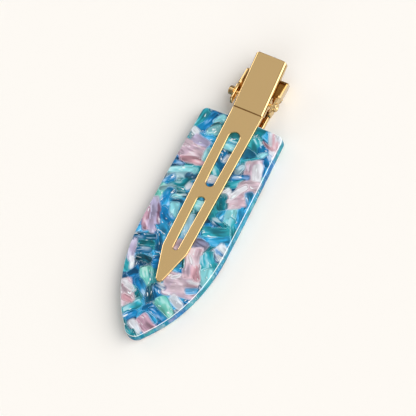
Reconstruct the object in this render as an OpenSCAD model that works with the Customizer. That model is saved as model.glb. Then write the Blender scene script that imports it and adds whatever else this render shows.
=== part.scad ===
// No-crease hair clip: a stamped metal clip whose flat slotted blade closes on a marbled acetate plate.
// +X is to the right, +Y runs from the plate's tip to the handle, +Z is up.
// The origin is the middle of the clip's footprint, on the surface that it lies on.

/* [Plate] */
// Length of the acetate plate from its rounded tip to its back edge
plate_l = 62.8; // [56:0.1:75]
// Width of the plate where it is widest
plate_w = 24.5; // [22:0.1:32]
// Width of the plate at its back edge
plate_back_w = 23.1; // [20:0.1:24]
// Thickness of the acetate
plate_t = 2.9; // [2:0.1:3.4]
// Length of the tapering tip of the plate
plate_tip_l = 28; // [18:0.1:34]
// Fullness of the tip, from an ellipse at 0.5 to a parabola at 1
plate_tip_power = 0.75; // [0.5:0.01:1]
// Radius of the plate's tip
plate_tip_r = 2.8; // [1.5:0.1:3]
// Radius of the plate's two back corners
plate_corner_r = 1.5; // [0.6:0.1:4]
// How far the back edge bows outwards in its middle
plate_bow = 0.3; // [0:0.05:0.8]

/* [Blade] */
// Thickness of the sheet metal
sheet_t = 0.6; // [0.5:0.05:0.65]
// Clear height between the plate and the closed blade
jaw_gap = 0.15; // [0.1:0.05:0.6]
// Distance of the blade's fold line behind the plate's back edge
fold_back = 2.4; // [2:0.1:3.5]
// Length of the blade from the fold line to its tip
blade_l = 49.7; // [40:0.1:56]
// Width of the blade at the fold line
blade_w = 8.5; // [7:0.1:9]
// Width of the blade at its shoulders
shoulder_w = 7; // [5.5:0.1:8]
// Distance from the fold line to the shoulders
shoulder_at = 40.5; // [34:0.1:44]
// Radius of the blade's shoulders
shoulder_r = 4; // [1:0.5:6]
// Radius of the blade's tip
blade_tip_r = 1; // [0.5:0.1:1.5]

/* [Slots] */
// Distance from the fold line to the back end of the long slot
slot_at = 6.3; // [5:0.1:10]
// Length of the long slot
slot_l = 15.7; // [10:0.1:16]
// Width of the long slot at its back end, from which all the slots taper
slot_w = 3.1; // [2:0.1:4]
// Metal left between the two slots
slot_bridge = 3.2; // [2:0.1:5]
// Length of the second slot
slot_2_l = 15.3; // [10:0.1:15.5]
// Width of the second slot at its front end, to which all the slots taper
slot_end_w = 1.45; // [1:0.05:2]

/* [Handle] */
// Length of the raised handle behind the fold line
handle_l = 15.1; // [12:0.1:18]
// Rise of the handle, in degrees
handle_rise = 9.8; // [4:0.1:12]
// Step from the blade up to the handle's top
handle_step = 0.5; // [0.2:0.05:0.8]
// Depth of the handle's side walls
handle_wall_h = 1.5; // [1.2:0.1:1.8]
// Radius of the handle's two end corners, seen from above
handle_corner_r = 1; // [0.5:0.1:2]
// Radius of the handle's long edges
handle_edge_r = 0.65; // [0.2:0.05:0.7]

/* [Lower jaw] */
// Width of the lower handle at its ears
tray_w = 11.6; // [11:0.1:13]
// Width of the lower handle's floor, from which its side walls lean outwards
tray_floor_w = 10.6; // [10:0.1:11]
// How far the side walls lean outwards, in degrees
wall_lean = 11; // [6:1:14]
// Distance of the lower handle's end behind the plate's back edge
tray_back = 14; // [13:0.1:15]
// Height of the lower handle's side walls beside the ears
tray_h = 4.3; // [3.8:0.1:4.6]
// Height of the side walls at the lower handle's end
tray_end_h = 3.7; // [3.2:0.1:4.2]
// Height of the low lip across the lower handle's end
tray_lip_h = 1.4; // [1:0.1:1.6]
// Width of the tongue that carries the plate
tongue_w = 9; // [7:0.1:10]
// Length of the tongue under the plate
tongue_l = 40; // [20:1:46]
// Height of the low rims beside the tongue, behind the plate
rim_h = 1.3; // [1:0.1:1.6]
// Height of the top of the two hinge ears
ear_h = 4.9; // [4.7:0.05:5.1]
// How far each hinge ear stands out from its forward arm
ear_out = 0.1; // [0:0.05:0.4]

/* [Hinge] */
// Distance of the hinge pin behind the plate's back edge
pin_back = 6.1; // [5.6:0.1:6.6]
// Height of the hinge pin
pin_z = 3.9; // [3.8:0.05:3.9]
// Radius of the hinge pin
pin_r = 0.4; // [0.35:0.05:0.45]
// Running clearance of the pin in its holes
pin_play = 0.05; // [0.03:0.01:0.08]
// Radius of the pin's heads
head_r = 1.2; // [0.9:0.05:1.3]
// Height of the formed head on the left side
head_h = 1.4; // [0.6:0.1:1.8]
// Height of the riveted head on the right side
rivet_h = 0.5; // [0.3:0.05:0.8]
// Radius of the dimple in the riveted head
dimple_r = 0.5; // [0.3:0.05:0.6]

/* [Spring] */
// Diameter of the spring's wire
wire_d = 0.35; // [0.25:0.05:0.35]
// Full turns of the coil
coil_turns = 6; // [4:1:8]

/* [Hidden] */
$fn = 48;
arc_step = 12;
small_gap = 0.05;
past = 1;

gold = [0.80, 0.67, 0.44];
gold_dark = [0.70, 0.56, 0.34];
acetate_blue = [0.25, 0.60, 0.72];
spring_steel = [0.72, 0.55, 0.32];

// Places along Y, from the middle of the whole clip
clip_l = plate_l + fold_back + handle_l * cos(handle_rise) + (handle_wall_h - handle_step) * sin(handle_rise);
back_y = plate_l - clip_l / 2;
fold_y = back_y + fold_back;
pin_y = back_y + pin_back;
tray_y = back_y + tray_back;

// The hinge ears, and the front end of the side walls' foot
ear_half_l = 2.2;
wall_foot_y = pin_y + 4.1;

// Heights above the surface that the clip lies on
plate_z = sheet_t + small_gap;
blade_z = plate_z + plate_t + jaw_gap;
blade_top = blade_z + sheet_t;

handle_w = blade_w + 0.2;

function unit(v) = v / norm(v);
function turn(from, to) = let (d = (to - from) % 360) d > 180 ? d - 360 : d < -180 ? d + 360 : d;

// Corner points [x, y, radius] made into an outline whose corners are arcs
function corner(before, at, after) =
    let (
        p = [at.x, at.y],
        u = unit([before.x, before.y] - p),
        v = unit([after.x, after.y] - p),
        half = acos(u * v) / 2,
        centre = p + unit(u + v) * at.z / sin(half),
        start = p + u * at.z / tan(half) - centre,
        end = p + v * at.z / tan(half) - centre,
        a0 = atan2(start.y, start.x),
        sweep = turn(a0, atan2(end.y, end.x)),
        steps = max(1, ceil(abs(sweep) / arc_step))
    )
    at.z == 0 ? [p] : [for (i = [0 : steps]) centre + at.z * [cos(a0 + sweep * i / steps), sin(a0 + sweep * i / steps)]];

function rounded(corners) =
    let (n = len(corners))
    [for (i = [0 : n - 1]) each corner(corners[(i + n - 1) % n], corners[i], corners[(i + 1) % n])];

// The right half of a symmetric outline's corners, followed by their mirror image
function both_sides(right) =
    concat(right, [for (i = [len(right) - 1 : -1 : 0]) [-right[i].x, right[i].y, right[i].z]]);

// A tip's round end: from the point where a straight line from p meets the circle, to the circle's foot
function round_tip(p, tip_y, r) =
    let (
        centre = [0, tip_y + r],
        v = p - centre,
        a0 = atan2(v.y, v.x) - acos(r / norm(v)),
        steps = ceil((a0 + 90) / arc_step)
    )
    [for (i = [0 : steps]) let (a = a0 - (a0 + 90) * i / steps) centre + r * [cos(a), sin(a)]];

// A closed outline from the points of its right side, which starts and ends in the middle
function mirrored(right) =
    concat(right, [for (i = [len(right) - 2 : -1 : 1]) [-right[i].x, right[i].y]]);

// A flat shape drawn in Y and Z, made w thick along X in the middle of the clip
module across(w) {
    rotate([90, 0, 90]) linear_extrude(w, center = true) children();
}

// Half the plate's width at a distance from its back edge, along its nearly straight side
function side_half_w(d) =
    plate_back_w / 2 + (plate_w - plate_back_w) / 2 * sin(90 * d / (plate_l - plate_tip_l));

module plate() {
    side_l = plate_l - plate_tip_l;
    tip_y = back_y - plate_l;
    corner_x = plate_back_w / 2 - plate_corner_r;
    back_edge = [for (i = [0 : 3]) let (x = corner_x * i / 4) [x, back_y - plate_bow * pow(x / corner_x, 2)]];
    back_corner = corner(
        [0, back_y - plate_bow, 0],
        [plate_back_w / 2, back_y - plate_bow, plate_corner_r],
        [side_half_w(side_l / 6), back_y - side_l / 6, 0]
    );
    side = [for (i = [1 : 5]) let (d = side_l * i / 6) [side_half_w(d), back_y - d]];
    taper = [for (a = [0 : 5 : 55])
        [plate_w / 2 * pow(cos(a), 2 * plate_tip_power), tip_y + plate_tip_l * (1 - sin(a))]];
    tip = round_tip(taper[len(taper) - 1], tip_y, plate_tip_r);
    color(acetate_blue)
    translate([0, 0, plate_z])
    linear_extrude(plate_t)
    polygon(mirrored(concat(back_edge, back_corner, side, taper, tip)));
}

// The slots narrow evenly from the long slot's back end to the second slot's front end
function slot_w_at(d) =
    let (whole = slot_l + slot_bridge + slot_2_l)
    slot_w + (slot_end_w - slot_w) * (d - slot_at) / whole;

// One slot: the outline round its two end circles
module slot(from, length) {
    r0 = slot_w_at(from) / 2;
    r1 = slot_w_at(from + length) / 2;
    c0 = [0, fold_y - from - r0];
    c1 = [0, fold_y - from - length + r1];
    lean = asin((r0 - r1) / norm(c0 - c1));
    steps = round(180 / arc_step);
    polygon(concat(
        [for (i = [0 : steps]) let (a = -lean + (180 + 2 * lean) * i / steps) c0 + r0 * [cos(a), sin(a)]],
        [for (i = [0 : steps]) let (a = 180 + lean + (180 - 2 * lean) * i / steps) c1 + r1 * [cos(a), sin(a)]]
    ));
}

module blade() {
    tip_y = fold_y - blade_l;
    shoulder = corner(
        [blade_w / 2, fold_y, 0],
        [shoulder_w / 2, fold_y - shoulder_at, shoulder_r],
        [blade_tip_r, tip_y + blade_tip_r, 0]
    );
    tip = round_tip(shoulder[len(shoulder) - 1], tip_y, blade_tip_r);
    back = fold_y + sheet_t / 2;
    translate([0, 0, blade_z]) linear_extrude(sheet_t) difference() {
        polygon(mirrored(concat([[0, back], [blade_w / 2, back], [blade_w / 2, fold_y]], shoulder, tip)));
        slot(slot_at, slot_l);
        slot(slot_at + slot_l + slot_bridge, slot_2_l);
    }
}

// The raised handle in its own tilted frame: y along it from the fold line, z up from the blade's top
module handle_box() {
    section = rounded([
        [-handle_w / 2, handle_step - handle_wall_h, 0],
        [handle_w / 2, handle_step - handle_wall_h, 0],
        [handle_w / 2, handle_step, handle_edge_r],
        [-handle_w / 2, handle_step, handle_edge_r],
    ]);
    plan = rounded(both_sides([
        [handle_w / 2, 0, 0],
        [handle_w / 2, handle_l, handle_corner_r],
    ]));
    inner_w = handle_w - 2 * sheet_t;
    difference() {
        intersection() {
            translate([0, handle_l, 0]) rotate([90, 0, 0]) linear_extrude(handle_l) polygon(section);
            translate([0, 0, -handle_wall_h]) linear_extrude(2 * handle_wall_h) polygon(plan);
        }
        translate([-inner_w / 2, sheet_t, -handle_wall_h - past])
            cube([inner_w, handle_l - 2 * sheet_t, handle_wall_h + past + handle_step - sheet_t]);
    }
}

// The two round lugs that hang from the handle's walls and turn on the pin
module lugs() {
    rim_round_hole = 0.9;
    lug_r = pin_r + rim_round_hole;
    outer_w = handle_w - 2 * small_gap;
    inner_w = handle_w - 2 * sheet_t + 2 * small_gap;
    wall_bottom = blade_top + (pin_y - fold_y) * tan(handle_rise) + handle_step - handle_wall_h;
    difference() {
        across(outer_w) union() {
            translate([pin_y, pin_z]) circle(lug_r);
            translate([pin_y - lug_r, pin_z]) square([2 * lug_r, wall_bottom + sheet_t - pin_z]);
        }
        across(inner_w) translate([pin_y - 2 * lug_r, 0]) square([4 * lug_r, 2 * pin_z]);
    }
}

module upper_jaw() {
    color(gold)
    difference() {
        union() {
            blade();
            translate([0, fold_y, blade_top]) rotate([handle_rise, 0, 0]) handle_box();
            lugs();
        }
        across(2 * handle_w) translate([pin_y, pin_z]) circle(pin_r + pin_play);
    }
}

// The lower handle's floor and the tongue in front of it, as one flat shape
module floor_plan() {
    end_r = 0.9;
    neck_r = 0.8;
    neck_y = pin_y + 1.4;
    wide_y = pin_y + 3.3;
    lip_w = tray_floor_w + 2 * tray_lip_h * tan(wall_lean);
    polygon(rounded(both_sides([
        [lip_w / 2, tray_y, end_r],
        [lip_w / 2, wide_y, neck_r],
        [tongue_w / 2, neck_y, neck_r],
        [tongue_w / 2, back_y - tongue_l, tongue_w * 0.49],
    ])));
}

// The side wall with its hinge ear, seen from the side
module wall_profile() {
    end_y = tray_y - 0.65;
    end_lean = 0.3;
    end_r = 0.6;
    ear_r = 0.6;
    step_l = 0.3;
    arm_y = pin_y - 3.5;
    arm_z = pin_z - 1;
    polygon(rounded([
        [end_y + end_lean, 0, 0],
        [end_y, tray_end_h, end_r],
        [pin_y + ear_half_l + step_l, tray_h, step_l],
        [pin_y + ear_half_l, ear_h, ear_r],
        [pin_y - ear_half_l, ear_h, ear_r],
        [arm_y, arm_z, ear_r],
        [pin_y + ear_half_l, arm_z - step_l, ear_r],
        [wall_foot_y, 0, 0],
    ]));
}

// A section across the lower handle: a trough whose walls lean outwards, thinned evenly by inset
module trough_section(inset) {
    bottom_r = 1.1;
    top = 2 * ear_h;
    foot_x = tray_floor_w / 2 + inset * tan(wall_lean) - inset / cos(wall_lean);
    rim_x = foot_x + (top - inset) * tan(wall_lean);
    polygon(rounded([
        [-foot_x, inset, bottom_r - inset],
        [foot_x, inset, bottom_r - inset],
        [rim_x, top, 0],
        [-rim_x, top, 0],
    ]));
}

module floor_rims_and_lip() {
    rim_l = pin_back + 1.2;
    linear_extrude(sheet_t) floor_plan();
    intersection() {
        linear_extrude(tray_h) floor_plan();
        union() {
            translate([-tray_w / 2, tray_y - sheet_t, 0]) cube([tray_w, sheet_t, tray_lip_h]);
            for (side = [-1, 1])
                translate([side * (tongue_w - sheet_t) / 2 - sheet_t / 2, back_y + 2 * small_gap, 0])
                    cube([sheet_t, rim_l, rim_h]);
        }
    }
}

// The two leaning walls behind the ears
module leaning_walls() {
    from_y = pin_y + ear_half_l + 0.3;
    translate([0, tray_y, 0]) rotate([90, 0, 0]) linear_extrude(tray_y - from_y) difference() {
        trough_section(0);
        trough_section(sheet_t);
    }
}

// The right ear and its forward arm, seen from above
module ear_plan() {
    wall_x = tray_w / 2;
    ear_x = wall_x + ear_out;
    outer = [
        [ear_x, pin_y + ear_half_l + 1],
        [ear_x, pin_y - ear_half_l],
        [wall_x, back_y + fold_back / 2],
    ];
    inner = [for (i = [len(outer) - 1 : -1 : 0]) outer[i] - [sheet_t, 0]];
    polygon(concat(outer, inner));
}

module side_walls() {
    intersection() {
        across(3 * tray_w) wall_profile();
        union() {
            leaning_walls();
            linear_extrude(2 * ear_h) ear_plan();
            mirror([1, 0, 0]) linear_extrude(2 * ear_h) ear_plan();
        }
    }
}

module lower_jaw() {
    color(gold_dark)
    difference() {
        union() {
            intersection() {
                floor_rims_and_lip();
                translate([0, clip_l, 0]) rotate([90, 0, 0]) linear_extrude(2 * clip_l) trough_section(0);
            }
            side_walls();
        }
        across(2 * tray_w) translate([pin_y, pin_z]) circle(pin_r + pin_play);
    }
}

module hinge_pin() {
    ear_face = tray_w / 2 + ear_out + small_gap;
    head_round = 0.4;
    rivet_round = 0.2;
    dimple_depth = 0.35;
    dimple_foot_r = 0.3;
    color(gold)
    translate([0, pin_y, pin_z])
    rotate([0, 90, 0])
    rotate_extrude()
    polygon(rounded([
        [0, -ear_face - head_h, 0],
        [head_r, -ear_face - head_h, head_round],
        [head_r, -ear_face, 0],
        [pin_r, -ear_face, 0],
        [pin_r, ear_face, 0],
        [head_r, ear_face, 0],
        [head_r, ear_face + rivet_h, rivet_round],
        [dimple_r, ear_face + rivet_h, 0],
        [dimple_foot_r, ear_face + rivet_h - dimple_depth, 0],
        [0, ear_face + rivet_h - dimple_depth, 0],
    ]));
}

// The wire's line: up the lower leg, round the coil and out along the upper leg
function spring_path() =
    let (
        coil_r = pin_r + pin_play + small_gap + wire_d / 2,
        pitch = wire_d + small_gap,
        leg_l = 6,
        lower_angle = -atan((pin_z - coil_r - sheet_t - wire_d) / leg_l),
        a0 = lower_angle - 90,
        a1 = handle_rise - 270 - 360 * coil_turns,
        steps = round((a0 - a1) / 30),
        half_w = pitch * (a0 - a1) / 720,
        on_coil = [for (i = [0 : steps]) let (a = a0 + (a1 - a0) * i / steps)
            [-half_w + 2 * half_w * i / steps, pin_y + coil_r * cos(a), pin_z + coil_r * sin(a)]]
    )
    concat(
        [on_coil[0] + leg_l * [0, cos(lower_angle), sin(lower_angle)]],
        on_coil,
        [on_coil[steps] + leg_l * [0, cos(handle_rise), sin(handle_rise)]]
    );

// A round wire swept along a line of points that never runs along X
module wire(path, d) {
    sides = 8;
    n = len(path);
    rings = [for (i = [0 : n - 1])
        let (
            t = unit(path[min(i + 1, n - 1)] - path[max(i - 1, 0)]),
            u = unit(cross(t, [1, 0, 0])),
            v = cross(t, u)
        )
        for (k = [0 : sides - 1]) path[i] + d / 2 * (u * cos(360 * k / sides) + v * sin(360 * k / sides))];
    walls = [for (i = [0 : n - 2]) for (k = [0 : sides - 1])
        let (a = i * sides + k, b = i * sides + (k + 1) % sides)
        [a, a + sides, b + sides, b]];
    polyhedron(rings, concat(
        [[for (k = [0 : sides - 1]) k]],
        walls,
        [[for (k = [sides - 1 : -1 : 0]) (n - 1) * sides + k]]
    ));
}

module spring() {
    color(spring_steel) wire(spring_path(), wire_d);
}

plate();
upper_jaw();
lower_jaw();
hinge_pin();
spring();
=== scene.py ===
"""A no-crease hair clip of pale gold-plated sheet metal, closed on a plate of marbled acetate."""

from math import cos, pi, radians, sin

import bmesh
import bpy
from mathutils import Matrix, Vector
from mathutils.bvhtree import BVHTree


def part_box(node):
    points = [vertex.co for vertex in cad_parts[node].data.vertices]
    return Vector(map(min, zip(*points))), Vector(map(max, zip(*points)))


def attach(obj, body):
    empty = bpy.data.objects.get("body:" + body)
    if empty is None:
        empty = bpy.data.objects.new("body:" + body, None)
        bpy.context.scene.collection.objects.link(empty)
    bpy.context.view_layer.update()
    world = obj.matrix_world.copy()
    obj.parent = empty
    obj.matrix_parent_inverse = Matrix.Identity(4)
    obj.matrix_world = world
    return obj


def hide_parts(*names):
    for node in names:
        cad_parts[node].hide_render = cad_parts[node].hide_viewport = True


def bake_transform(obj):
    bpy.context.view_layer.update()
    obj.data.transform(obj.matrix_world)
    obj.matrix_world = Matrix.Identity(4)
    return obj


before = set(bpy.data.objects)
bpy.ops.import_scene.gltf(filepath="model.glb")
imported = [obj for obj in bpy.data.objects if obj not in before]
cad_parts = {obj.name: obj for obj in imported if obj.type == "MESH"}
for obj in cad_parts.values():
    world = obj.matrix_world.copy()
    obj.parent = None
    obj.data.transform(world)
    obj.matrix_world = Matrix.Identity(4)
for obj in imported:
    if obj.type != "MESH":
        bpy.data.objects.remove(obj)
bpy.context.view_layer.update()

MM = 0.001


def linear(hex_colour):
    """An sRGB hex colour as linear red, green, blue and alpha."""
    channels = [int(hex_colour[i : i + 2], 16) / 255 for i in (1, 3, 5)]
    return [c / 12.92 if c <= 0.04045 else ((c + 0.055) / 1.055) ** 2.4 for c in channels] + [1.0]


def add_node(tree, kind, settings=None, inputs=None):
    """Adds a node, sets its properties, and sets or links its inputs by name or number.

    A Mix node's factor is number 0, its two floats are 2 and 3, and its two colours are 6 and 7.
    """
    node = tree.nodes.new(kind)
    for name, value in (settings or {}).items():
        setattr(node, name, value)
    for key, value in (inputs or {}).items():
        if isinstance(value, bpy.types.NodeSocket):
            tree.links.new(value, node.inputs[key])
        else:
            node.inputs[key].default_value = value
    return node


def new_material(name):
    """An empty node material and its node tree."""
    material = bpy.data.materials.new(name)
    material.use_nodes = True
    material.node_tree.nodes.clear()
    return material, material.node_tree


# Camera

# The photograph's viewing direction, from the clip towards the camera, and how far the picture is turned
TOWARDS_CAMERA = Vector((0.366, -0.248, 0.8969)).normalized()
PICTURE_TURN = radians(62.06)

# The point in the middle of the picture, the camera's distance from it, and the picture's width there
CAMERA_TARGET = Vector((2.41, -2.0, 3.55)) * MM
CAMERA_DISTANCE = 1.5
PICTURE_WIDTH = 0.104


def add_camera():
    """A long lens that looks at the clip as the photograph's does, turned about its own axis."""
    along = Vector((0, 1, 0))
    along = (along - along.dot(TOWARDS_CAMERA) * TOWARDS_CAMERA).normalized()
    across = TOWARDS_CAMERA.cross(along)
    right = cos(PICTURE_TURN) * along - sin(PICTURE_TURN) * across
    up = sin(PICTURE_TURN) * along + cos(PICTURE_TURN) * across
    data = bpy.data.cameras.new("camera")
    data.sensor_width = 36
    data.lens = data.sensor_width * CAMERA_DISTANCE / PICTURE_WIDTH
    data.clip_start = 0.1
    data.clip_end = 20
    camera = bpy.data.objects.new("camera", data)
    camera.location = CAMERA_TARGET + TOWARDS_CAMERA * CAMERA_DISTANCE
    camera.rotation_euler = Matrix((right, up, TOWARDS_CAMERA)).transposed().to_euler()
    bpy.context.scene.collection.objects.link(camera)
    bpy.context.scene.camera = camera


# Light

# The even light of the tent round the clip: dim and slightly warm
TENT_LIGHT = (0.205, 0.185, 0.175)

# Round white panels in the tent: direction from the clip, radius in degrees, and brightness
PANELS = (
    # Ceiling, for the even tan of the flat tops
    ((-0.366, 0.09, 0.925), 21, 0.42),
    # Main light, on the right
    ((0.75, 0.22, 0.62), 33, 2.7),
    # Low on the left
    ((-0.89, 0.20, 0.42), 12, 2.8),
    # Front
    ((0.30, -0.86, 0.42), 34, 1.0),
    # Small and high behind, for the rims of the lower handle
    ((-0.37, 0.50, 0.78), 8, 1.3),
    # Back
    ((0.30, 0.92, 0.25), 24, 0.9),
    # Cards below the clip, for what a white table would give back: under the front right edge, in front,
    # behind, on the right and on the left
    ((0.13, 0.25, -0.95), 30, 0.6),
    ((0.20, -0.93, -0.30), 30, 0.6),
    ((0.10, 0.95, -0.30), 28, 0.6),
    ((0.90, -0.35, -0.25), 22, 0.4),
    ((-0.94, -0.15, -0.30), 22, 0.6),
)

# The share of a panel's radius over which it fades, inwards and outwards
PANEL_FADE = 0.25


def add_light():
    """The world's light: the tent with its soft panels."""
    world = bpy.data.worlds.new("studio")
    world.use_nodes = True
    tree = world.node_tree
    tree.nodes.clear()
    towards = add_node(tree, "ShaderNodeTexCoord").outputs["Generated"]
    light = 0.0
    for direction, radius, brightness in PANELS:
        facing = add_node(tree, "ShaderNodeVectorMath", {"operation": "DOT_PRODUCT"},
                          {0: towards, 1: Vector(direction).normalized()})
        panel = add_node(tree, "ShaderNodeMapRange", {"interpolation_type": "SMOOTHSTEP"}, {
            "Value": facing.outputs["Value"],
            "From Min": cos(radians(radius * (1 + PANEL_FADE))),
            "From Max": cos(radians(radius * (1 - PANEL_FADE))),
            "To Max": brightness,
        })
        total = add_node(tree, "ShaderNodeMath", {"operation": "ADD"}, {0: light, 1: panel.outputs[0]})
        light = total.outputs[0]
    whole = add_node(tree, "ShaderNodeVectorMath", {"operation": "ADD"}, {0: light, 1: TENT_LIGHT})
    background = add_node(tree, "ShaderNodeBackground",
                          inputs={"Color": whole.outputs[0], "Strength": 1.0})
    add_node(tree, "ShaderNodeOutputWorld", inputs={"Surface": background.outputs[0]})
    bpy.context.scene.world = world
    bpy.context.scene.view_settings.view_transform = "Standard"


# Floor

# Half the floor's side, and how far it lies below the clip so that the two don't touch
FLOOR_HALF = 4.0
FLOOR_DROP = 0.05 * MM


def card_material():
    """Matt white card, a little warm."""
    material, tree = new_material("matt_white_card")
    surface = add_node(tree, "ShaderNodeBsdfPrincipled", inputs={
        "Base Color": linear("#FAF8F3"), "Roughness": 0.9, "Specular IOR Level": 0.1})
    add_node(tree, "ShaderNodeOutputMaterial", inputs={"Surface": surface.outputs[0]})
    return material


def add_floor():
    """The white surface that the clip lies on, which the metal doesn't mirror."""
    mesh = bmesh.new()
    bmesh.ops.create_grid(mesh, x_segments=1, y_segments=1, size=FLOOR_HALF)
    bmesh.ops.translate(mesh, verts=mesh.verts, vec=(0, 0, -FLOOR_DROP))
    data = bpy.data.meshes.new("floor")
    mesh.to_mesh(data)
    mesh.free()
    data.materials.append(card_material())
    floor = bpy.data.objects.new("floor", data)
    bpy.context.scene.collection.objects.link(floor)
    floor.visible_glossy = False


# Acetate

# The colours of the chips that are pressed into the sheet
CHIP_COLOURS = {
    "navy": "#003C52",
    "deep": "#004C74",
    "blue": "#0076B2",
    "azure": "#2C9CCE",
    "ice": "#A0CEE6",
    "pine": "#005260",
    "teal": "#047886",
    "turquoise": "#2C9EAC",
    "aqua": "#8CD2D8",
    "mint": "#68BAA8",
    "slate": "#7C9CA6",
    "pink": "#CFB0BA",
    "rose": "#C08F9A",
    "lilac": "#B8A8C4",
    "mauve": "#897B92",
    "pearl": "#E0E4EA",
    "wine": "#744A60",
}

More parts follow.
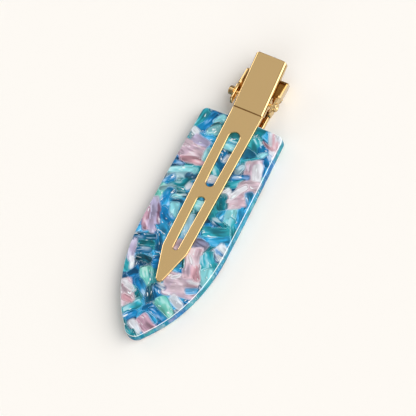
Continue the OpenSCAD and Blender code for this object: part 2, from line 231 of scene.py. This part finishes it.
# The larger chips, charted one by one, from the lowest to the topmost:
# colour, middle along X and Y in millimetres, turn in degrees, length and width in millimetres
CHIPS = (
    ("turquoise", -10.6, 19.8, 72, 6.4, 2.8),
    ("deep", -7.0, 21.9, -8, 5.6, 2.0),
    ("blue", -8.4, 18.9, 62, 6.2, 2.8),
    ("aqua", -6.0, 20.4, 50, 3.4, 1.6),
    ("teal", -6.4, 19.0, 40, 3.2, 1.0),
    ("aqua", -6.3, 17.5, 35, 3.8, 2.1),
    ("azure", -5.9, 14.9, 20, 2.8, 2.3),
    ("slate", -10.4, 14.6, -30, 4.2, 2.6),
    ("pearl", -10.6, 15.8, -18, 2.6, 1.3),
    ("lilac", -8.0, 13.4, -15, 4.8, 2.8),
    ("pink", -9.0, 10.0, -8, 7.4, 5.0),
    ("rose", -7.4, 7.8, 12, 6.2, 1.6),
    ("aqua", -5.1, 10.8, 80, 3.6, 1.3),
    ("blue", -10.6, 5.8, 8, 3.6, 0.8),
    ("slate", -8.0, 3.2, 18, 7.4, 1.6),
    ("deep", -5.6, 3.9, 45, 3.6, 1.8),
    ("aqua", -8.6, 4.6, 20, 8.0, 1.3),
    ("blue", -10.4, 1.2, 40, 3.8, 1.8),
    ("teal", -7.2, 1.5, 30, 5.2, 1.5),
    ("pearl", -5.1, 1.5, 60, 1.9, 1.4),
    ("mint", -11.0, -2.6, 70, 5.2, 3.2),
    ("slate", -9.9, -0.8, 35, 4.2, 1.4),
    ("blue", -8.7, -3.2, 75, 5.0, 2.4),
    ("azure", -8.0, -5.2, 80, 3.2, 1.8),
    ("pine", -5.6, -1.2, 10, 3.2, 1.2),
    ("aqua", -6.3, -2.2, 10, 2.6, 0.9),
    ("deep", -5.5, -3.3, 15, 2.8, 1.0),
    ("aqua", -5.5, -5.7, 100, 3.8, 2.3),
    ("blue", -7.1, -7.7, -35, 4.8, 2.8),
    ("azure", -6.0, -11.0, -30, 4.6, 2.8),
    ("rose", -11.3, -10.2, -62, 7.4, 2.0),
    ("lilac", -10.0, -7.6, -60, 7.4, 2.3),
    ("lilac", -8.7, -11.9, -55, 4.6, 1.9),
    ("wine", -8.6, -8.1, -60, 5.6, 0.6),
    ("blue", -5.3, -15.0, -60, 5.4, 1.9),
    ("deep", -9.2, -15.2, 14, 6.2, 1.7),
    ("teal", -9.0, -16.9, 12, 6.6, 1.3),
    ("deep", -8.2, -18.5, 12, 5.2, 1.5),
    ("pine", -6.4, -20.2, 10, 5.2, 1.7),
    ("lilac", -10.6, -19.6, -75, 6.4, 1.7),
    ("pearl", -9.2, -22.8, -75, 3.8, 1.2),
    ("blue", -7.2, -24.5, 60, 4.8, 2.3),
    ("deep", -5.8, -22.3, -30, 3.2, 1.3),
    ("mint", -2.9, -25.2, -58, 7.8, 3.6),
    ("teal", -1.3, -25.4, -58, 6.0, 1.1),
    ("blue", -3.4, -27.4, -28, 5.8, 1.9),
    ("pink", -6.7, -30.4, -52, 6.8, 4.0),
    ("pearl", -6.8, -28.4, -12, 4.4, 0.9),
    ("rose", -5.4, -31.2, -10, 2.8, 1.4),
    ("turquoise", -3.3, -32.6, 55, 5.4, 2.0),
    ("navy", 0.2, -28.6, -62, 6.0, 2.8),
    ("blue", 1.4, -27.2, -45, 4.0, 2.2),
    ("blue", 1.0, -31.4, 45, 4.2, 2.6),
    ("mint", 4.6, -30.0, -35, 6.2, 3.0),
    ("blue", 4.0, -32.4, -12, 6.2, 1.5),
    ("blue", -2.9, -35.0, 50, 4.2, 2.2),
    ("azure", 1.8, -33.9, -10, 6.2, 1.6),
    ("rose", 3.0, -36.2, -25, 7.0, 3.4),
    ("pearl", 0.1, -37.4, -30, 4.6, 1.6),
    ("turquoise", -2.3, -38.4, -42, 5.2, 1.3),
    ("pink", 5.6, -23.2, 12, 9.0, 6.2),
    ("azure", 8.8, -23.4, 25, 3.8, 1.6),
    ("pearl", 6.6, -27.6, -20, 4.6, 1.8),
    ("deep", 1.0, -25.5, 0, 2.6, 1.2),
    # Painted highlights: this and the next two thin pearl slivers are white glints, not pearl chips
    ("pearl", 0.9, -24.9, 0, 1.5, 0.5),
    ("pearl", 3.6, -21.4, 40, 3.4, 0.6),
    ("pearl", 8.4, -21.2, 15, 3.4, 0.5),
    ("turquoise", 5.2, -1.2, 0, 4.2, 3.2),
    ("azure", 6.8, -1.4, 70, 3.6, 1.8),
    ("aqua", 8.9, -1.6, -75, 5.2, 2.4),
    ("azure", 11.2, -1.5, -72, 6.4, 1.8),
    ("turquoise", 10.4, -5.2, -60, 6.2, 2.6),
    ("teal", 6.4, -4.1, -20, 6.2, 2.0),
    ("deep", 6.8, -5.0, -20, 4.4, 0.8),
    ("turquoise", 7.3, -7.1, 20, 7.4, 3.0),
    ("azure", 8.0, -9.4, 22, 7.6, 1.9),
    ("pearl", 10.7, -11.4, -25, 4.6, 3.2),
    ("blue", 10.3, -11.4, -20, 4.0, 0.6),
    ("deep", 9.8, -12.7, -35, 4.4, 0.7),
    ("mauve", 5.0, -11.6, -10, 3.6, 2.6),
    ("turquoise", 9.4, -15.6, -55, 7.4, 3.6),
    ("aqua", 10.6, -18.8, -60, 4.4, 2.3),
    ("pink", 5.8, -16.7, -65, 8.4, 4.2),
    ("rose", 7.8, -18.7, -65, 4.2, 1.6),
    # Painted highlight: a thin white glint, not a pearl chip
    ("pearl", 4.8, -15.9, -50, 2.8, 0.5),
    ("teal", 5.8, 21.4, 0, 4.4, 2.4),
    ("azure", 7.7, 20.9, -30, 3.2, 2.0),
    ("pearl", 10.8, 19.4, -68, 7.4, 3.8),
    ("rose", 8.2, 18.6, -15, 4.6, 0.8),
    ("rose", 9.6, 20.2, -68, 5.4, 0.5),
    ("rose", 11.2, 18.4, -70, 5.0, 0.6),
    ("turquoise", 5.8, 17.2, -45, 5.4, 4.0),
    ("deep", 5.3, 14.6, -10, 3.8, 2.6),
    ("blue", 8.4, 16.5, -40, 4.2, 2.0),
    ("aqua", 8.8, 15.9, 35, 2.2, 1.2),
    ("blue", 10.9, 15.0, -55, 3.4, 1.4),
    ("turquoise", 6.4, 13.5, 25, 5.4, 1.5),
    ("pink", 8.6, 11.2, -70, 6.0, 4.8),
    ("pearl", 10.2, 10.8, -75, 5.4, 2.6),
    ("slate", 5.0, 10.5, 70, 3.2, 1.7),
    ("blue", 6.4, 8.3, 15, 4.6, 1.7),
    ("turquoise", 5.6, 6.2, 25, 5.0, 2.0),
    ("pink", 9.9, 6.8, 15, 5.8, 3.0),
    ("pink", 8.4, 2.6, 30, 5.2, 3.8),
    ("azure", 11.2, 4.0, -60, 3.6, 2.0),
    ("pearl", 7.7, 4.6, 55, 5.0, 1.2),
    ("pearl", 4.9, 3.6, 60, 2.6, 1.6),
    ("teal", 5.0, 1.0, -60, 4.0, 2.4),
    ("turquoise", 0.0, 17.6, -10, 3.4, 2.4),
    ("aqua", 0.0, 14.9, -8, 3.4, 1.7),
    ("pine", 0.0, 13.3, -5, 3.4, 1.3),
    ("blue", -0.5, 10.8, -62, 5.4, 2.8),
    ("pearl", 0.5, 11.7, 78, 2.6, 0.9),
    ("turquoise", -0.4, 7.2, -45, 3.8, 1.8),
    ("pearl", 0.2, 5.2, 15, 3.0, 1.7),
    ("aqua", 0.0, -2.6, 10, 2.6, 2.8),
    ("teal", -0.4, -4.9, -45, 2.4, 1.5),
    ("ice", 0.0, -8.2, -70, 6.4, 2.4),
    ("pink", 0.0, -13.8, 60, 3.0, 2.0),
)

# How much of what lies below it a chip hides
CHIP_BODY = 0.84

# In millimetres: how near a corner a chip's outline rounds off, how far outside its outline the chip
# starts to show, and how far inside it shows in full
CHIP_ROUNDING = 1.6
CHIP_START = 0.4
CHIP_FULL = 0.1

# The sockets of the group of nodes that lays one chip
CHIP_INPUTS = {
    "Place": "NodeSocketVector",
    "Colour below": "NodeSocketColor",
    "Turn below": "NodeSocketFloat",
    "Centre": "NodeSocketVector",
    "Along": "NodeSocketVector",
    "Across": "NodeSocketVector",
    "Half length": "NodeSocketFloat",
    "Half width": "NodeSocketFloat",
    "Colour": "NodeSocketColor",
    "Turn": "NodeSocketFloat",
}
CHIP_OUTPUTS = {"Colour": "NodeSocketColor", "Turn": "NodeSocketFloat"}

# The colours of the small shards that fill the room between the chips
SHARD_COLOURS = ("teal", "blue", "turquoise", "azure", "deep", "azure", "blue", "turquoise")

# In millimetres: the length of a shard, and how far the shards break the edges of the larger chips
SHARD_LENGTH = 4
SHARD_SHIFT = 0.5

# In millimetres: the length of the soft bends in the sheet, and how far they shift the chips
BEND_LENGTH = 7
BEND_SHIFT = 1.6

# In millimetres: the thickness of one layer of chips, the length of the waves in its boundary, and how
# far its chips lie from those of the layer above
LAYER_THICKNESS = 1.5
WAVE_LENGTH = 2.6
LAYER_SHIFT = (1.9, 6.7, 0)

# How many folds, fine stripes and glints go to a millimetre, along a chip's grain and across it
FOLDS_PER_MM = (0.2, 0.42, 1)
STRIPES_PER_MM = (0.22, 1.7, 1)
GLINTS_PER_MM = (0.45, 1.5, 1)

# The white of the painted highlights: fold ridges, glints and the rounded corner
PAINTED_HIGHLIGHT_WHITE = "#EDF6F8"

# How much the middle of the rounded corner, where the painted pale line lies, faces up or down
CORNER_RISE = 0.72

# The runs of colour in the edge, and their length in millimetres
RUN_COLOURS = ("#0068A8", "#108496")
RUN_LENGTH = 9


def chip_group():
    """Nodes that lay one chip over the colour below it and hand on which way its grain runs."""
    group = bpy.data.node_groups.new("acetate_chip", "ShaderNodeTree")
    for name, kind in CHIP_INPUTS.items():
        group.interface.new_socket(name, in_out="INPUT", socket_type=kind)
    for name, kind in CHIP_OUTPUTS.items():
        group.interface.new_socket(name, in_out="OUTPUT", socket_type=kind)
    given = add_node(group, "NodeGroupInput").outputs
    offset = add_node(group, "ShaderNodeVectorMath", {"operation": "SUBTRACT"},
                      {0: given["Place"], 1: given["Centre"]})
    beyond = []
    for direction, half in (("Along", "Half length"), ("Across", "Half width")):
        side = add_node(group, "ShaderNodeVectorMath", {"operation": "DOT_PRODUCT"},
                        {0: offset.outputs[0], 1: given[direction]})
        far = add_node(group, "ShaderNodeMath", {"operation": "ABSOLUTE"}, {0: side.outputs["Value"]})
        past = add_node(group, "ShaderNodeMath", {"operation": "SUBTRACT"},
                        {0: far.outputs[0], 1: given[half]})
        beyond.append(past.outputs[0])
    outside = add_node(group, "ShaderNodeMath", {"operation": "SMOOTH_MAX"},
                       {0: beyond[0], 1: beyond[1], 2: CHIP_ROUNDING})
    inside = add_node(group, "ShaderNodeMapRange", inputs={
        "Value": outside.outputs[0], "From Min": CHIP_START, "From Max": -CHIP_FULL})
    body = add_node(group, "ShaderNodeMath", {"operation": "MULTIPLY"},
                    {0: inside.outputs[0], 1: CHIP_BODY})
    colour = add_node(group, "ShaderNodeMix", {"data_type": "RGBA"},
                      {0: body.outputs[0], 6: given["Colour below"], 7: given["Colour"]})
    turn = add_node(group, "ShaderNodeMix", {"data_type": "FLOAT"},
                    {0: inside.outputs[0], 2: given["Turn below"], 3: given["Turn"]})
    add_node(group, "NodeGroupOutput", inputs={"Colour": colour.outputs[2], "Turn": turn.outputs[0]})
    return group


def sheet_layers(tree, where, in_mm):
    """A point's place in its own layer of chips, in millimetres, and the waves in the boundaries."""
    bend = add_node(tree, "ShaderNodeTexNoise", {"noise_dimensions": "2D"},
                    {"Vector": in_mm, "Scale": 1 / BEND_LENGTH, "Detail": 1.0})
    level = add_node(tree, "ShaderNodeVectorMath", {"operation": "MULTIPLY_ADD"},
                     {0: bend.outputs["Color"], 1: (BEND_SHIFT, BEND_SHIFT, 0), 2: in_mm})
    # Each layer further down shows other chips, so that the polished edge is banded along its length and
    # the underside differs from the top
    waves = add_node(tree, "ShaderNodeTexNoise", {"noise_dimensions": "2D"},
                     {"Vector": in_mm, "Scale": 1 / WAVE_LENGTH, "Detail": 1.0})
    height = add_node(tree, "ShaderNodeSeparateXYZ", inputs={0: where})
    plate_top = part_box("plate")[1].z
    depth = add_node(tree, "ShaderNodeMath", {"operation": "SUBTRACT"},
                     {0: plate_top, 1: height.outputs["Z"]})
    sunk = add_node(tree, "ShaderNodeMath", {"operation": "MULTIPLY_ADD"},
                    {0: depth.outputs[0], 1: 1 / (LAYER_THICKNESS * MM), 2: waves.outputs[0]})
    layer = add_node(tree, "ShaderNodeMath", {"operation": "FLOOR"}, {0: sunk.outputs[0]})
    shift = add_node(tree, "ShaderNodeVectorMath", {"operation": "SCALE"},
                     {0: LAYER_SHIFT, "Scale": layer.outputs[0]})
    place = add_node(tree, "ShaderNodeVectorMath", {"operation": "ADD"},
                     {0: level.outputs[0], 1: shift.outputs[0]})
    return place.outputs[0], waves.outputs[0]


def scatter_shards(tree, place):
    """The colour and turn of the shards at the bottom of a layer, and the place to look up the chips."""
    shards = add_node(tree, "ShaderNodeTexVoronoi", {"voronoi_dimensions": "2D"},
                      {"Vector": place, "Scale": 1 / SHARD_LENGTH})
    chance = add_node(tree, "ShaderNodeSeparateColor", inputs={0: shards.outputs["Color"]})
    ramp = add_node(tree, "ShaderNodeValToRGB", inputs={0: chance.outputs[0]})
    ramp.color_ramp.interpolation = "CONSTANT"
    stops = ramp.color_ramp.elements
    while len(stops) < len(SHARD_COLOURS):
        stops.new(0.5)
    for i, name in enumerate(SHARD_COLOURS):
        stops[i].position = i / len(SHARD_COLOURS)
        stops[i].color = linear(CHIP_COLOURS[name])
    turn = add_node(tree, "ShaderNodeMath", {"operation": "MULTIPLY"}, {0: chance.outputs[1], 1: 2 * pi})
    broken = add_node(tree, "ShaderNodeVectorMath", {"operation": "MULTIPLY_ADD"},
                      {0: shards.outputs["Color"], 1: (SHARD_SHIFT, SHARD_SHIFT, 0), 2: place})
    # On average the bends and shards leave the chips where they are charted
    middle = (BEND_SHIFT + SHARD_SHIFT) / 2
    chip_place = add_node(tree, "ShaderNodeVectorMath", {"operation": "SUBTRACT"},
                          {0: broken.outputs[0], 1: (middle, middle, 0)})
    return ramp.outputs[0], turn.outputs[0], chip_place.outputs[0]


def lay_chips(tree, place, colour, turn):
    """The colour and the turn of the grain once the charted chips lie on the shards."""
    group = chip_group()
    for name, x, y, degrees, length, width in CHIPS:
        angle = radians(degrees)
        chip = add_node(tree, "ShaderNodeGroup", {"node_tree": group}, {
            "Place": place,
            "Colour below": colour,
            "Turn below": turn,
            "Centre": (x, y, 0),
            "Along": (cos(angle), sin(angle), 0),
            "Across": (-sin(angle), cos(angle), 0),
            "Half length": length / 2,
            "Half width": width / 2,
            "Colour": linear(CHIP_COLOURS[name]),
            "Turn": -angle,
        })
        colour, turn = chip.outputs["Colour"], chip.outputs["Turn"]
    return colour, turn


def fold_height(tree, grain, waves):
    """How high a point lies on the satin folds, about 2.4 mm apart, that run along each chip."""
    fold_place = add_node(tree, "ShaderNodeMapping", inputs={"Vector": grain, "Scale": FOLDS_PER_MM})
    folds = add_node(tree, "ShaderNodeTexNoise", inputs={
        "Vector": fold_place.outputs[0],
        "Scale": 1.0,
        "Detail": 1.5,
        "Roughness": 0.45,
        "Distortion": 0.4,
    })
    # Here and there a chip also shows fine stripes, half a millimetre to a millimetre apart
    stripe_place = add_node(tree, "ShaderNodeMapping",
                            inputs={"Vector": grain, "Scale": STRIPES_PER_MM})
    stripes = add_node(tree, "ShaderNodeTexNoise", inputs={
        "Vector": stripe_place.outputs[0], "Scale": 1.0, "Detail": 0.0, "Distortion": 0.3})
    striped = add_node(tree, "ShaderNodeMapRange", {"interpolation_type": "SMOOTHSTEP"}, {
        "Value": waves, "From Min": 0.4, "From Max": 0.6, "To Min": 0.05, "To Max": 0.6})
    stripe = add_node(tree, "ShaderNodeMath", {"operation": "SUBTRACT"},
                      {0: stripes.outputs[0], 1: 0.5})
    fold = add_node(tree, "ShaderNodeMath", {"operation": "MULTIPLY_ADD"},
                    {0: stripe.outputs[0], 1: striped.outputs[0], 2: folds.outputs[0]})
    return fold.outputs[0]


def paint_fold_shade(tree, colour, fold):
    """The colour with painted shade in the fold valleys and painted light on the ridges, deep in the dark
    chips and faint in the pale ones.
    """
    paleness = add_node(tree, "ShaderNodeRGBToBW", inputs={0: colour})
    painted_valley_shade = add_node(tree, "ShaderNodeMapRange", inputs={
        "Value": paleness.outputs[0], "From Min": 0.08, "From Max": 0.5, "To Min": 0.22, "To Max": 0.72})
    painted_ridge_light = add_node(tree, "ShaderNodeMapRange", inputs={
        "Value": paleness.outputs[0], "From Min": 0.3, "From Max": 0.75, "To Min": 1.55, "To Max": 1.2})
    # Painted shade and light: darker in the fold valleys, lighter on the ridges
    painted_tone = add_node(tree, "ShaderNodeMapRange", {"interpolation_type": "SMOOTHSTEP"}, {
        "Value": fold,
        "From Min": 0.3,
        "From Max": 0.7,
        "To Min": painted_valley_shade.outputs[0],
        "To Max": painted_ridge_light.outputs[0],
    })
    shaded = add_node(tree, "ShaderNodeVectorMath", {"operation": "SCALE"},
                      {0: colour, "Scale": painted_tone.outputs[0]})
    return shaded.outputs[0]


def painted_highlight_share(tree, grain, waves, fold, rise):
    """How much painted highlight a point gets: painted sheen where a fold rises to the light, painted
    glints, and a painted pale line on the rounded corner.
    """
    # Painted sheen on the ridges of the folds
    painted_sheen = add_node(tree, "ShaderNodeMapRange", {"interpolation_type": "SMOOTHSTEP"},
                     {"Value": fold, "From Min": 0.55, "From Max": 0.76, "To Max": 0.45})
    # Painted glints: white highlights, up to a millimetre long, lie in clusters
    glint_place = add_node(tree, "ShaderNodeMapping", inputs={"Vector": grain, "Scale": GLINTS_PER_MM})
    specks = add_node(tree, "ShaderNodeTexNoise", inputs={
        "Vector": glint_place.outputs[0], "Scale": 1.0, "Detail": 1.5, "Distortion": 1.2})
    cluster = add_node(tree, "ShaderNodeMath", {"operation": "MULTIPLY_ADD"},
                       {0: waves, 1: 0.35, 2: specks.outputs[0]})
    painted_glint = add_node(tree, "ShaderNodeMapRange", {"interpolation_type": "SMOOTHSTEP"},
                     {"Value": cluster.outputs[0], "From Min": 0.84, "From Max": 0.90, "To Max": 0.95})
    # A painted highlight: the polished corner between a face and the edge gets a thin pale line all round,
    # where it would catch the light
    from_corner = add_node(tree, "ShaderNodeMath", {"operation": "SUBTRACT"}, {0: rise, 1: CORNER_RISE})
    off = add_node(tree, "ShaderNodeMath", {"operation": "ABSOLUTE"}, {0: from_corner.outputs[0]})
    corner = add_node(tree, "ShaderNodeMapRange", {"interpolation_type": "SMOOTHSTEP"},
                      {"Value": off.outputs[0], "From Min": 0.26, "From Max": 0.12, "To Max": 0.9})
    inner = add_node(tree, "ShaderNodeMath", {"operation": "MAXIMUM"},
                     {0: painted_sheen.outputs[0], 1: painted_glint.outputs[0]})
    share = add_node(tree, "ShaderNodeMath", {"operation": "MAXIMUM"},
                     {0: inner.outputs[0], 1: corner.outputs[0]})
    return share.outputs[0]


def edge_colour(tree, where):
    """Long runs of blue and teal, to which a see-through sheet blends its chips in the edge."""
    runs = add_node(tree, "ShaderNodeTexNoise",
                    inputs={"Vector": where, "Scale": 1 / (RUN_LENGTH * MM), "Detail": 0.0})
    share = add_node(tree, "ShaderNodeMapRange", {"interpolation_type": "SMOOTHSTEP"},
                     {"Value": runs.outputs[0], "From Min": 0.42, "From Max": 0.58})
    colour = add_node(tree, "ShaderNodeMix", {"data_type": "RGBA"},
                      {0: share.outputs[0], 6: linear(RUN_COLOURS[0]), 7: linear(RUN_COLOURS[1])})
    return colour.outputs[2]


def acetate_material():
    """Marbled cellulose acetate: pearlescent chips pressed into a sheet, cut, and polished to a wet gloss,
    with painted shade and highlights.
    """
    material, tree = new_material("marbled_cellulose_acetate")
    given = add_node(tree, "ShaderNodeTexCoord").outputs
    where = given["Object"]
    in_mm = add_node(tree, "ShaderNodeMapping", inputs={"Vector": where, "Scale": (1 / MM, 1 / MM, 0)})
    normal = add_node(tree, "ShaderNodeSeparateXYZ", inputs={0: given["Normal"]})
    slope = add_node(tree, "ShaderNodeMath", {"operation": "ABSOLUTE"}, {0: normal.outputs["Z"]})
    rise = slope.outputs[0]

    place, waves = sheet_layers(tree, where, in_mm.outputs[0])
    shard_colour, shard_turn, chip_place = scatter_shards(tree, place)
    colour, turn = lay_chips(tree, chip_place, shard_colour, shard_turn)
    grain = add_node(tree, "ShaderNodeVectorRotate", {"rotation_type": "Z_AXIS"},
                     {"Vector": place, "Angle": turn}).outputs[0]
    fold = fold_height(tree, grain, waves)
    # The chips' colour with its painted shade and painted highlights
    colour_with_painted_light = add_node(tree, "ShaderNodeMix", {"data_type": "RGBA"}, {
        0: painted_highlight_share(tree, grain, waves, fold, rise),
        6: paint_fold_shade(tree, colour, fold),
        7: linear(PAINTED_HIGHLIGHT_WHITE),
    })
    # Where the surface stands upright the chips blend into the edge's runs of colour
    edge_on = add_node(tree, "ShaderNodeMapRange",
                       inputs={"Value": rise, "From Min": 0.4, "From Max": 0.1, "To Max": 0.7})
    toned = add_node(tree, "ShaderNodeMix", {"data_type": "RGBA"},
                     {0: edge_on.outputs[0], 6: colour_with_painted_light.outputs[2], 7: edge_colour(tree, where)})

    # The wet gloss is a clear coat, and the colour under it, with its painted shade and highlights, has no
    # mirror of its own
    surface = add_node(tree, "ShaderNodeBsdfPrincipled", inputs={
        "Base Color": toned.outputs[2],
        "Roughness": 0.4,
        "IOR": 1.48,
        "Specular IOR Level": 0.0,
        "Coat Weight": 0.6,
        "Coat Roughness": 0.03,
        "Coat IOR": 1.45,
    })
    add_node(tree, "ShaderNodeOutputMaterial", inputs={"Surface": surface.outputs[0]})
    return material


# Metal

# The length in millimetres of the waves that rolling leaves in sheet metal
ROLLING_WAVE = 6.25

# How many marks of drawing go to a metre of wire, each about 1.1 mm long
DRAWING_MARKS = 900.0


def gold_material():
    """Pale gold plating on bright stamped steel: smooth, with the faint waviness that rolling leaves."""
    material, tree = new_material("gold_plated_stamped_steel")
    where = add_node(tree, "ShaderNodeTexCoord").outputs["Object"]
    waves = add_node(tree, "ShaderNodeTexNoise",
                     inputs={"Vector": where, "Scale": 1 / (ROLLING_WAVE * MM), "Detail": 2.0})
    gloss = add_node(tree, "ShaderNodeMapRange", inputs={
        "Value": waves.outputs[0], "From Min": 0.3, "From Max": 0.7, "To Min": 0.10, "To Max": 0.16})
    surface = add_node(tree, "ShaderNodeBsdfPrincipled", inputs={
        "Base Color": linear("#EDCB8F"), "Metallic": 1.0, "Roughness": gloss.outputs[0]})
    add_node(tree, "ShaderNodeOutputMaterial", inputs={"Surface": surface.outputs[0]})
    return material


def wire_material():
    """Hard-drawn spring wire under the same plating, a little duller and redder."""
    material, tree = new_material("gold_plated_spring_wire")
    where = add_node(tree, "ShaderNodeTexCoord").outputs["Object"]
    marks = add_node(tree, "ShaderNodeTexNoise",
                     inputs={"Vector": where, "Scale": DRAWING_MARKS, "Detail": 2.0})
    gloss = add_node(tree, "ShaderNodeMapRange",
                     inputs={"Value": marks.outputs[0], "To Min": 0.2, "To Max": 0.4})
    surface = add_node(tree, "ShaderNodeBsdfPrincipled", inputs={
        "Base Color": linear("#D9A765"), "Metallic": 1.0, "Roughness": gloss.outputs[0]})
    add_node(tree, "ShaderNodeOutputMaterial", inputs={"Surface": surface.outputs[0]})
    return material


# Pieces

# Points nearer than this are one point, and faces that turn by less than this are one flat face
SAME_POINT = 0.0005 * MM
FLAT_ANGLE = radians(0.3)

# Edges that turn by more than this are sharp, and faces whose normal rises above this look upwards
SHARP_ANGLE = radians(40)
UPWARD_RISE = 0.9

# The least and greatest length of an edge on the lower handle's rim, and the least length of the fold line
WALL_RIM_SHORTEST = 3 * MM
WALL_RIM_LONGEST = 12 * MM
FOLD_LINE_SHORTEST = 5 * MM

# Roundings: of the plate, the upper jaw's rim and fold line, the tops of the lower handle's walls, and the
# lower jaw's other edges
PLATE_ROUNDING = 0.3 * MM
RIM_ROUNDING = 0.15 * MM
FOLD_ROUNDING = 0.25 * MM
WALL_ROUNDING = 0.2 * MM
EDGE_ROUNDING = 0.1 * MM


def merged(node):
    """A CAD node's solid with its points merged and its flat faces joined."""
    mesh = bmesh.new()
    mesh.from_mesh(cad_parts[node].data)
    bmesh.ops.remove_doubles(mesh, verts=mesh.verts, dist=SAME_POINT)
    bmesh.ops.dissolve_limit(mesh, angle_limit=FLAT_ANGLE, verts=mesh.verts, edges=mesh.edges)
    return mesh


def round_edges(mesh, width, segments, choose=None):
    """Rounds the sharp edges, all of them or the chosen ones."""
    before = BVHTree.FromBMesh(mesh)
    edges = [e for e in mesh.edges if len(e.link_faces) == 2 and e.calc_face_angle() > SHARP_ANGLE]
    if choose:
        edges = [e for e in edges if choose(e)]
    bmesh.ops.bevel(mesh, geom=edges, offset=width, offset_type="OFFSET", affect="EDGES",
                    segments=segments, profile=0.5, material=-1, clamp_overlap=False)
    # Where several roundings meet in a small corner, their points are drawn back to the plain surface
    for vert in mesh.verts:
        nearest, _, _, distance = before.find_nearest(vert.co)
        if distance > width / 2:
            vert.co = nearest
    bmesh.ops.remove_doubles(mesh, verts=mesh.verts, dist=SAME_POINT)


def meets_upward_face(edge):
    """Whether one of an edge's faces looks upwards."""
    return any(face.normal.z > UPWARD_RISE for face in edge.link_faces)


def upper_rim(edge):
    """Whether an edge stands round a face that looks upwards."""
    return edge.is_convex and meets_upward_face(edge)


def wall_rim(edge):
    """Whether an edge runs along the top of one of the lower handle's walls, its end lip or an ear."""
    return upper_rim(edge) and WALL_RIM_SHORTEST < edge.calc_length() < WALL_RIM_LONGEST


def fold_line(edge):
    """Whether an edge is the crease between the blade and the handle."""
    return not edge.is_convex and edge.calc_length() > FOLD_LINE_SHORTEST and meets_upward_face(edge)


def add_piece(mesh, name, node, body, material, crease=42):
    """Shows a mesh in a CAD node's place, on a body if one is given, with creases over so many degrees."""
    for face in mesh.faces:
        face.smooth = True
    for edge in mesh.edges:
        edge.smooth = len(edge.link_faces) == 2 and edge.calc_face_angle() < radians(crease)
    data = bpy.data.meshes.new(name)
    mesh.to_mesh(data)
    mesh.free()
    data.materials.append(material)
    piece = bpy.data.objects.new(name, data)
    bpy.context.scene.collection.objects.link(piece)
    piece.modifiers.new("flat_faces_stay_flat", "WEIGHTED_NORMAL").keep_sharp = True
    if body:
        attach(piece, body)
    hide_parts(node)
    return piece


add_camera()
add_light()
add_floor()
gold = gold_material()

plate = merged("plate")
round_edges(plate, PLATE_ROUNDING, segments=4)
add_piece(plate, "acetate_plate", "plate", "base", acetate_material())

upper_jaw = merged("upper_jaw")
round_edges(upper_jaw, RIM_ROUNDING, segments=2, choose=upper_rim)
round_edges(upper_jaw, FOLD_ROUNDING, segments=3, choose=fold_line)
add_piece(upper_jaw, "upper_jaw_stamping", "upper_jaw", "blade", gold, crease=18)

lower_jaw = merged("lower_jaw")
round_edges(lower_jaw, WALL_ROUNDING, segments=2, choose=wall_rim)
round_edges(lower_jaw, EDGE_ROUNDING, segments=2)
add_piece(lower_jaw, "lower_jaw_stamping", "lower_jaw", "base", gold)

add_piece(merged("hinge_pin"), "hinge_rivet", "hinge_pin", "base", gold)

# The spring is on no body, and its place is baked into its points
spring = add_piece(merged("spring"), "torsion_spring", "spring", None, wire_material())
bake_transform(spring)
